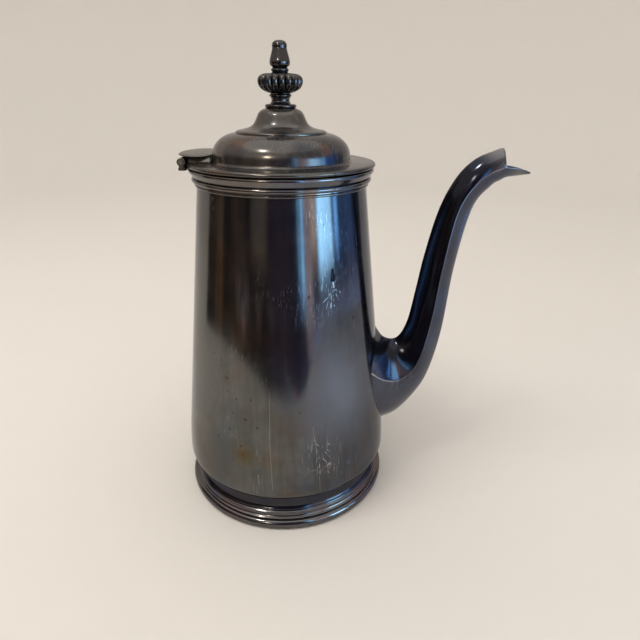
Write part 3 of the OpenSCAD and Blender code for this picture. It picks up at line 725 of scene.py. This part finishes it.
def plate():
    """The cover: a leaf, slightly domed, with its outer lip bent down over the knuckles."""
    rings = []
    for share, low, high in ((1.0, 0.42, 0.58), (0.985, 0.2, 0.8), (0.95, 0.06, 0.95), (0.8, 0, 1.05),
                             (0.5, 0, 1.15), (0.2, 0, 1.2)):
        below, above = [], []
        for i in range(PLATE_STEPS):
            turn = 2 * math.pi * i / PLATE_STEPS
            x = PLATE_X + PLATE_HALF_X * share * math.copysign(abs(math.cos(turn)) ** 1.1, math.cos(turn))
            y = PLATE_HALF_Y * share * math.sin(turn)
            drop = LIP_DROP * (max(0, LIP_X - x) / (PLATE_HALF_X + PLATE_X - LIP_X)) ** 1.6
            below.append((x, y, PLATE_Z + low - drop))
            above.append((x, y, PLATE_Z + high - drop))
        rings = [below] + rings + [above]
    return tube(rings)


def hinge_ears():
    """The pot's half of the hinge: two knuckles that curl up from a foot on the rim."""
    side = arc((PIN_X, PIN_Z), (KNUCKLE_R, KNUCKLE_R), -50, 232, 30)
    side += [(-46.0, 180.2), (-46.4, 179.6), (-46.4, 178.5), (-43.2, 178.5), (-43.2, 179.55), (-44, 179.8)]
    bm = bmesh.new()
    for low, high in ((-HINGE_HALF_Y, -EAR_Y), (EAR_Y, HINGE_HALF_Y)):
        ends = [[bm.verts.new((x, y, z)) for x, z in side] for y in (low, high)]
        skin(bm, ends, False)
        bm.faces.new(ends[0])
        bm.faces.new(ends[1])
    round_edges(bm, 0.15, 60)
    return bm


def cylinder(radius, low, high):
    return rod((0, 0, low), (0, 0, high), radius, 180)


def bore():
    return rod((PIN_X, -30, PIN_Z), (PIN_X, 30, PIN_Z), PIN_BORE_R, 32)


leaf = make_piece("lid_leaf_skin", pad(), "lid", ["lid_leaf"])
arm = box((PIN_X - 0.2, -LID_HALF_Y, PIN_Z - 0.4), (PAD_X, LID_HALF_Y, PAD_TOP_Z - 0.15))
combine(leaf, arm, "UNION")
combine(leaf, knuckle(-LID_HALF_Y, LID_HALF_Y), "UNION")
combine(leaf, cylinder(DOME_R + 1.9, 170, 200))
combine(leaf, bore())
cover = make_piece("hinge_cover_skin", plate(), "lid", ["hinge_cover"])
combine(cover, cylinder(DOME_R + 0.03, 170, 200))
ears = make_piece("hinge_bracket_skin", hinge_ears(), "pot", ["hinge_bracket"])
base = box((-46.3, -HINGE_HALF_Y + 0.1, 178.6), (-43.3, HINGE_HALF_Y - 0.1, 179.5))
combine(ears, base, "UNION")
combine(ears, cylinder(44.75, 170, MOUTH_Z + 0.02))
combine(ears, bore())

# ---------------------------------------------------------------- spout

# Sections of the spout as in the CAD part: inner corner (x, z), side crease (x, z), half width,
# outer corner (x, z) and how far the upper and the lower panel bulge
SPOUT_KEYS = [
    ((50, 94), (47, 76), 22.6, (57, 33), 5.1, 6.5),
    ((55.2, 87.2), (54.5, 69), 17.6, (65.5, 37.8), 3.3, 4.3),
    ((62.5, 87), (64, 66.6), 13, (75, 49.8), 2.1, 2.7),
    ((67.5, 97), (73.5, 75), 9.8, (82, 64.5), 1.3, 1.5),
    ((70.6, 116), (79, 98), 8, (87.2, 91), 0.9, 0.9),
    ((73.5, 136), (82.3, 130), 7.6, (90, 128), 0.9, 0.9),
    ((78.6, 159), (87, 159), 7.2, (95.4, 159), 0.9, 0.9),
    ((85.5, 174.5), (94.6, 172.5), 6.8, (103, 170.3), 1.4, 0.9),
    ((93.5, 183.2), (100.7, 177.3), 6.5, (107.5, 173.4), 1.6, 0.9),
    ((102.2, 187.3), (104.8, 179), 6.1, (109.4, 174.5), 1.6, 0.9),
    ((106.2, 188.6), (106.9, 179.9), 5.9, (110.4, 174.85), 1.6, 0.9),
    ((107.6, 187.5), (107.7, 180.1), 5.8, (110.8, 174.95), 1.6, 0.9)]
# Sections of the open beak past the hood: rim (x, z), half width, keel (x, z) and bulge
BEAK_KEYS = [
    ((107.7, 180.1), 5.8, (110.8, 174.95), 0.9),
    ((112, 179.9), 5.0, (114.2, 175.4), 0.8),
    ((117, 179), 3.1, (118.1, 175.9), 0.5),
    ((121.1, 177.5), 0.9, (121.45, 176.35), 0.2)]
RING_STEPS = 8           # rings from one section of the spout to the next
BEAK_STEPS = 5           # rings from one section of the beak to the next
EDGE = 0.22              # first step away from a corner, for its rounding
SPOUT_WALL = 1.2
CREASE_HIGHLIGHT_RINGS = 22          # rings over which the painted highlight on the side crease fades
NECK_SHADE_SHARE = 0.85             # share of painted shade on the upper panels of the neck


def panel(a, b, middle, bulge):
    """Points across a panel from a to b, closer near its corners, bulging away from the middle."""
    a, b, middle = Vector(a), Vector(b), Vector(middle)
    along = (b - a).normalized()
    out = (a + b) / 2 - middle
    out = (out - out.dot(along) * along).normalized()
    edge = min(0.1, EDGE / (b - a).length)
    shares = [0, edge, 2 * edge, 3 * edge] + [3 * edge + (1 - 6 * edge) * k / 8 for k in range(1, 8)]
    shares += [1 - 3 * edge, 1 - 2 * edge, 1 - edge]
    return [a.lerp(b, t) + out * bulge * 4 * t * (1 - t) for t in shares]


PANEL = 14               # points that panel() gives


def half_section(v):
    """Points over the near side, from the inner corner by the crease to before the outer one."""
    inner, crease, width, outer, up, low = v
    middle = ((inner[0] + outer[0]) / 2, 0, (inner[1] + outer[1]) / 2)
    top, side, end = (inner[0], 0, inner[1]), (crease[0], -width, crease[1]), (outer[0], 0, outer[1])
    return panel(top, side, middle, up) + panel(side, end, middle, low) + [Vector(end)]


def round_corners(ring):
    """The corners of a section, at each panel's ends, rounded over the three points beside them."""
    count = len(ring)
    made = list(ring)
    for corner in range(0, count, PANEL):
        a, p, b = ring[corner - 3], ring[corner], ring[(corner + 3) % count]
        for k in range(-2, 3):
            t = (k + 3) / 6
            made[(corner + k) % count] = a * (1 - t) ** 2 + p * 2 * t * (1 - t) + b * t ** 2
    return made


def mirrored(half):
    """A whole section from its near half."""
    return half + [Vector((p.x, -p.y, p.z)) for p in half[-2:0:-1]]


def spread(keys, i, t):
    """Every value of a row of keys, at the share t of the way from key i to the next."""
    def one(k):
        if isinstance(keys[0][k], tuple):
            return tuple(between([key[k][c] for key in keys], i, t) for c in (0, 1))
        return between([key[k] for key in keys], i, t)
    return [one(k) for k in range(len(keys[0]))]


def on_body(p):
    """A point of the root moved along x into the wall of the body."""
    return Vector((math.sqrt((body_r(p.z) - 0.3) ** 2 - p.y ** 2), p.y, p.z))


def spout():
    """The spout as one sheet: a closed neck up to the hood, then an open beak."""
    steps = [(i, s / RING_STEPS) for i in range(len(SPOUT_KEYS) - 1) for s in range(RING_STEPS)]
    rings = [round_corners(mirrored(half_section(spread(SPOUT_KEYS, i, t)))) for i, t in steps]
    rings.append(round_corners(mirrored(half_section(SPOUT_KEYS[-1]))))
    rings[0] = [on_body(p) for p in rings[0]]
    hood = len(rings) - 1
    beak_steps = [(i, s / BEAK_STEPS) for i in range(len(BEAK_KEYS) - 1) for s in range(BEAK_STEPS)][1:]
    beak_steps.append((len(BEAK_KEYS) - 2, 1))
    for i, t in beak_steps:
        rim, width, keel, bulge = spread(BEAK_KEYS, i, t)
        section = half_section((rim, rim, width, keel, 0, bulge))
        rings.append(round_corners(mirrored(section)))
    bm = bmesh.new()
    wear_and_painted_highlight, neck_painted_shade = bm.verts.layers.float.new("wear_and_painted_highlight"), bm.verts.layers.float.new("neck_painted_shade")
    count = len(rings[0])
    low, high = PANEL, 3 * PANEL
    outer = [[bm.verts.new(p) if j <= hood or low <= i <= high else None for i, p in enumerate(ring)]
             for j, ring in enumerate(rings)]
    quads = [(j, i) for j in range(len(rings) - 1) for i in range(count) if j < hood or low <= i < high]
    for j, i in quads:
        k = (i + 1) % count
        bm.faces.new((outer[j][i], outer[j + 1][i], outer[j + 1][k], outer[j][k]))
    bm.normal_update()
    inward = -1 if (outer[hood // 2][2 * PANEL].normal.x > 0) else 1
    inner = []
    for j, ring in enumerate(outer):
        past = max(0, j - hood) / (len(outer) - 1 - hood)
        thick = SPOUT_WALL * (1 - 0.8 * past)
        inner.append([v and bm.verts.new(v.co + v.normal * inward * thick) for v in ring])
    for j, i in quads:
        k = (i + 1) % count
        bm.faces.new((inner[j][i], inner[j][k], inner[j + 1][k], inner[j + 1][i]))
    for j in range(hood):
        fade = min(1, max(0, j - 2) / 12, (hood - j) / 24)
        # painted shade on the upper panels of the neck
        for i in range(3, PANEL - 1):
            for v in (outer[j][i], outer[j][count - i]):
                v[neck_painted_shade] = NECK_SHADE_SHARE * fade
        # a painted highlight along the side crease, fading up the neck
        for i in (PANEL - 1, PANEL, PANEL + 1):
            for v in (outer[j][i], outer[j][count - i]):
                v[wear_and_painted_highlight] = 1 - min(0.85, max(0, j - 1) / CREASE_HIGHLIGHT_RINGS)
    border = [((0, i), (0, (i + 1) % count)) for i in range(count)]
    border += [((hood, i), (hood, (i + 1) % count)) for i in range(count) if not low <= i < high]
    border += [((j, i), (j + 1, i)) for j in range(hood, len(rings) - 1) for i in (low, high)]
    border += [((len(rings) - 1, i), (len(rings) - 1, i + 1)) for i in range(low, high)]
    for (j, i), (m, k) in border:
        bm.faces.new((outer[j][i], outer[m][k], inner[m][k], inner[j][i]))
    return bm


make_piece("spout_skin", spout(), "pot", ["spout_near_half", "spout_far_half"], sharp=50)

# ---------------------------------------------------------------- handle

GRIP_TOP_Z, GRIP_HALF_W, GRIP_HALF_D = 148, 7, 8.47
BOW_R, BOW, BOW_END = 24, Vector((76, 124)), -20
SWEEP_R, SWEEP_TURN = 139, 25
SOCKET_Y = 58
GRIP_STEPS, SOCKET_STEPS = 48, 64    # points round the grip and the sockets
CUP_R, CUP_L, FLARE = 7.5, 5, 4      # radius of a socket, where its foot starts and how far it flares


def polar(angle, radius=1.0):
    return Vector((math.cos(math.radians(angle)), math.sin(math.radians(angle)))) * radius


SWEEP_C = BOW - polar(BOW_END, SWEEP_R - BOW_R)
GRIP_END = SWEEP_C + polar(BOW_END - SWEEP_TURN, SWEEP_R)
LOW_ANGLE = BOW_END - SWEEP_TURN - 90    # direction of the grip into the lower socket


def grip_path():
    """Centre line of the grip in the plane x = 0, as (point, direction in degrees)."""
    path = [(Vector((y, GRIP_TOP_Z)), 0) for y in (SOCKET_Y - 1, SOCKET_Y + 0.3, 60, 63, 67, 71, 75)]
    path += [(BOW + polar(a, BOW_R), a - 90) for a in range(90, BOW_END, -5)]
    path += [(SWEEP_C + polar(BOW_END - a, SWEEP_R), BOW_END - a - 90) for a in range(0, SWEEP_TURN + 1, 1)]
    path.append((GRIP_END + polar(LOW_ANGLE, 1), LOW_ANGLE))
    return path


def grip():
    """An oval grip that swells a little in the hand and shrinks to its two sockets."""
    path = grip_path()
    rings = []
    for k, (point, angle) in enumerate(path):
        share = k / (len(path) - 1)
        swell = 0.86 + 0.14 * min(1, math.sin(math.pi * share) * 1.6)
        normal = polar(angle + 90)
        ring = []
        for i in range(GRIP_STEPS):
            turn = 2 * math.pi * i / GRIP_STEPS
            side = GRIP_HALF_W * swell * math.copysign(abs(math.sin(turn)) ** 0.9, math.sin(turn))
            out = GRIP_HALF_D * swell * math.copysign(abs(math.cos(turn)) ** 0.9, math.cos(turn))
            at = point + normal * out
            ring.append((side, at.x, at.y))
        rings.append(ring)
    return tube(rings)


make_piece("handle_grip_wood", grip(), "pot", ["handle_grip"])


def body_distance(point, direction, side):
    """How far a line at x = side goes from a point in the plane before it is in the body's wall."""
    low, high = 0.0, 60.0
    for _ in range(30):
        middle = (low + high) / 2
        at = point + direction * middle
        inside = math.hypot(side, at.x) < body_r(at.y) - 0.4
        low, high = (low, middle) if inside else (middle, high)
    return high


def socket(mouth, angle):
    """A round cup with a moulded mouth, whose foot flares out to the body."""
    back = polar(angle)
    normal = polar(angle + 90)
    lip = [(0, 6.4), (0, 7.9), (0.25, 8.3), (0.8, 8.5), (1.5, 8.4), (2.0, 8.0), (2.3, 7.75), (3.2, 7.6),
           (CUP_L, CUP_R)]
    rings = []
    for depth, radius in [(4, 6.0), (0.2, 6.2)] + lip:
        rings.append([socket_point(mouth, back, normal, depth, radius, i) for i in range(SOCKET_STEPS)])
    for k in range(1, 13):
        t = k / 12
        ring = []
        for i in range(SOCKET_STEPS):
            radius = CUP_R + FLARE * t ** 3
            turn = 2 * math.pi * i / SOCKET_STEPS
            start = mouth + normal * radius * math.cos(turn)
            reach = body_distance(start, back, radius * math.sin(turn))
            depth = CUP_L + (reach - CUP_L) * t
            ring.append(socket_point(mouth, back, normal, depth, radius, i))
        rings.append(ring)
    return tube(rings)


def socket_point(mouth, back, normal, depth, radius, i):
    turn = 2 * math.pi * i / SOCKET_STEPS
    at = mouth + back * depth + normal * radius * math.cos(turn)
    return (radius * math.sin(turn), at.x, at.y)


make_piece("handle_socket_upper_skin", socket(Vector((SOCKET_Y, GRIP_TOP_Z)), 180), "pot",
           ["handle_socket_upper"])
make_piece("handle_socket_lower_skin", socket(GRIP_END + polar(LOW_ANGLE, 0.2), LOW_ANGLE), "pot",
           ["handle_socket_lower"])

# ---------------------------------------------------------------- stage and light


def paper_material(name, colour, rough):
    """Matt paper with a faint cloud in it."""
    p = Paint(name)
    grain = p.noise(60, detail=4)
    p.put(p.shader.inputs["Base Color"], p.mix(grain, tuple(c * 0.98 for c in colour), colour))
    p.shader.inputs["Roughness"].default_value = rough
    return p.material


FLOOR_END, COVE_R, WALL_TOP, COVE_STEPS = 1.1, 0.7, 2.5, 96    # the cove, in metres


def make_cove():
    """A round pale floor that sweeps up into a wall on every side."""
    line = [(0, 0), (FLOOR_END, 0)] + arc((FLOOR_END, COVE_R), (COVE_R, COVE_R), -90, 0, 16)
    line.append((FLOOR_END + COVE_R, WALL_TOP))
    bm = bmesh.new()
    rings = []
    for k in range(COVE_STEPS):
        a = 2 * math.pi * k / COVE_STEPS
        rings.append([bm.verts.new((r * math.cos(a), r * math.sin(a), z)) for r, z in line])
    for k in range(COVE_STEPS):
        one, two = rings[k], rings[(k + 1) % COVE_STEPS]
        for i in range(len(line) - 1):
            bm.faces.new((one[i], two[i], two[i + 1], one[i + 1]))
    bmesh.ops.remove_doubles(bm, verts=bm.verts, dist=1e-6)
    mesh = new_mesh("cove", bm)
    for face in mesh.polygons:
        face.use_smooth = True
    mesh.materials.append(paper_material("cove_paper", (0.79, 0.76, 0.725), 0.85))
    cove = new_object("cove", mesh)


# Where the dark card stands round the pot, as (azimuth, distance): azimuth 0 is the -Y side.
# A room that is near in front, a little further on the left and deep on the right
CARD_LINE = [(-100, 0.38), (-60, 0.38), (-30, 0.33), (-10, 0.27), (20, 0.27), (35, 0.4), (60, 0.55),
             (90, 0.5), (120, 0.45)]
CARD_STEPS = 6           # strips of the card from one of its points to the next
CARD_TOP = 0.36
# What shows on the card, as (from azimuth, to azimuth, softness, lower edge, its softness, radiance)
CARD_BANDS = [
    (-34, -14, 3.0, 0.12, 0.03, (0.3, 0.23, 0.19)),
    (-13, 14, 2.0, 0.0, 0.02, (0.07, 0.045, 0.09)),
    (20.5, 22.5, 0.8, 0.09, 0.03, (0.8, 1.8, 2.9)),
    (24, 27.5, 0.8, 0.085, 0.03, (1.9, 4.4, 7.0)),
    (31, 44, 2.5, 0.11, 0.03, (3.0, 2.0, 1.45)),
    (46, 66, 1.5, 0.08, 0.04, (4.2, 7.8, 10.5)),
    (70, 75.5, 1.0, 0.10, 0.04, (1.7, 4.2, 8.0)),
    (77, 103, 3.0, 0.06, 0.04, (0.2, 0.36, 0.72)),
    (104, 115, 2.0, 0.0, 0.04, (0.04, 0.07, 0.2)),
    (28, 37, 2.5, 0.03, 0.03, (1.5, 1.2, 1.25))]
DEGREES = 57.3           # in a radian


def card_paint():
    """A dim room: brown hangings on the left, windows and a blue wall on the right."""
    p = Paint("card")
    azimuth = p.times(p.azimuth(), DEGREES)
    height = p.axis("Z")
    hanging = p.noise(26, (1, 1, 0.05), detail=5, rough=0.7)
    left = p.mix(p.step(hanging, 0.45, 0.66), (0.022, 0.015, 0.014), (0.32, 0.18, 0.1))
    right = p.mix(p.step(hanging, 0.4, 0.66), (0.03, 0.025, 0.06), (0.08, 0.08, 0.18))
    tone = p.mix(p.step(azimuth, -48, -30), left, (0.05, 0.03, 0.032))
    tone = p.mix(p.step(azimuth, -20, 10), tone, right)
    for start, end, soft, low, fade, radiance in CARD_BANDS:
        band = p.times(p.step(azimuth, start - soft, start + soft), p.step(azimuth, end + soft, end - soft))
        if low:
            band = p.times(band, p.step(height, low - fade, low + fade))
        dim, bright = (tuple(c * share for c in radiance) for share in (0.55, 1.45))
        tone = p.mix(band, tone, p.mix(hanging, dim, bright))
    blotch = p.times(p.step(p.noise(17, detail=4), 0.5, 0.62), p.step(height, 0.11, 0.03))
    blotch = p.times(blotch, p.step(azimuth, -75, -45))
    hues = p.mix(p.step(p.noise(30), 0.4, 0.6), (1.3, 0.7, 0.7), (0.4, 0.75, 0.75))
    tone = p.mix(p.times(blotch, 0.6), tone, hues)
    table = p.times(p.step(azimuth, 27, 40), p.step(height, 0.085, 0.0))
    tone = p.mix(table, tone, (0.85, 0.95, 1.25))
    tone = p.mix(p.step(height, 0.23, CARD_TOP), tone, (0.6, 0.57, 0.53))
    p.shader.inputs["Base Color"].default_value = (0, 0, 0, 1)
    p.shader.inputs["Roughness"].default_value = 1
    p.shader.inputs["Specular IOR Level"].default_value = 0
    p.put(p.shader.inputs["Emission Color"], tone)
    p.shader.inputs["Emission Strength"].default_value = 1
    return p.material


def make_card():
    """A card that only reflections see, as a dim room stands round polished silver."""
    count = len(CARD_LINE) - 1
    shares = [(i, s / CARD_STEPS) for i in range(count) for s in range(CARD_STEPS)]
    line = [[between([c[k] for c in CARD_LINE], i, t) for k in (0, 1)] for i, t in shares]
    line.append(CARD_LINE[-1])
    bm = bmesh.new()
    rows = []
    for height in (0, CARD_TOP):
        rows.append([bm.verts.new((d * math.sin(math.radians(a)), -d * math.cos(math.radians(a)), height))
                     for a, d in line])
    for i in range(len(line) - 1):
        bm.faces.new((rows[0][i], rows[0][i + 1], rows[1][i + 1], rows[1][i]))
    mesh = new_mesh("card", bm)
    mesh.materials.append(card_paint())
    card = new_object("card", mesh)
    card.visible_camera = card.visible_diffuse = card.visible_shadow = False
    card.visible_transmission = card.visible_volume_scatter = False


def toward(azimuth, elevation, distance, height=0.1):
    """A place seen from the pot at an azimuth and an elevation in degrees."""
    a, e = math.radians(azimuth), math.radians(elevation)
    direction = Vector((math.sin(a) * math.cos(e), -math.cos(a) * math.cos(e), math.sin(e)))
    return direction * distance + Vector((0, 0, height))


def light(name, at, aim, size, radiance, colour, shows=True, lights=True):
    """A rectangular light of a given radiance. It may show only in reflections, or light only."""
    data = bpy.data.lights.new(name, "AREA")
    data.shape, data.size, data.size_y = "RECTANGLE", *size
    data.energy = radiance * math.pi * size[0] * size[1]
    data.color = colour
    lamp = new_object(name, data)
    lamp.location = at
    lamp.rotation_euler = (Vector(aim) - at).to_track_quat("-Z", "Y").to_euler()
    lamp.visible_camera = False
    lamp.visible_glossy, lamp.visible_diffuse = shows, lights


def make_lights():
    waist = (0, 0, 0.12)
    light("key", toward(-58.5, 60, 1.0), waist, (0.4, 0.4), 7, (1, 0.94, 0.86), shows=False)
    light("lamp", toward(-20, 30, 1.2), waist, (0.045, 0.1), 170, (1, 0.85, 0.68), lights=False)
    light("lamp_high", toward(-42, 60, 1.2), waist, (0.07, 0.07), 170, (1, 0.93, 0.82), lights=False)


def make_world():
    world = bpy.data.worlds.new("studio")
    world.use_nodes = True
    background = world.node_tree.nodes["Background"]
    background.inputs["Color"].default_value = (1.0, 0.97, 0.93, 1)
    background.inputs["Strength"].default_value = 1.22
    scene = bpy.context.scene
    scene.world = world
    scene.view_settings.view_transform = "Standard"


make_cove()
make_card()
make_lights()
make_world()
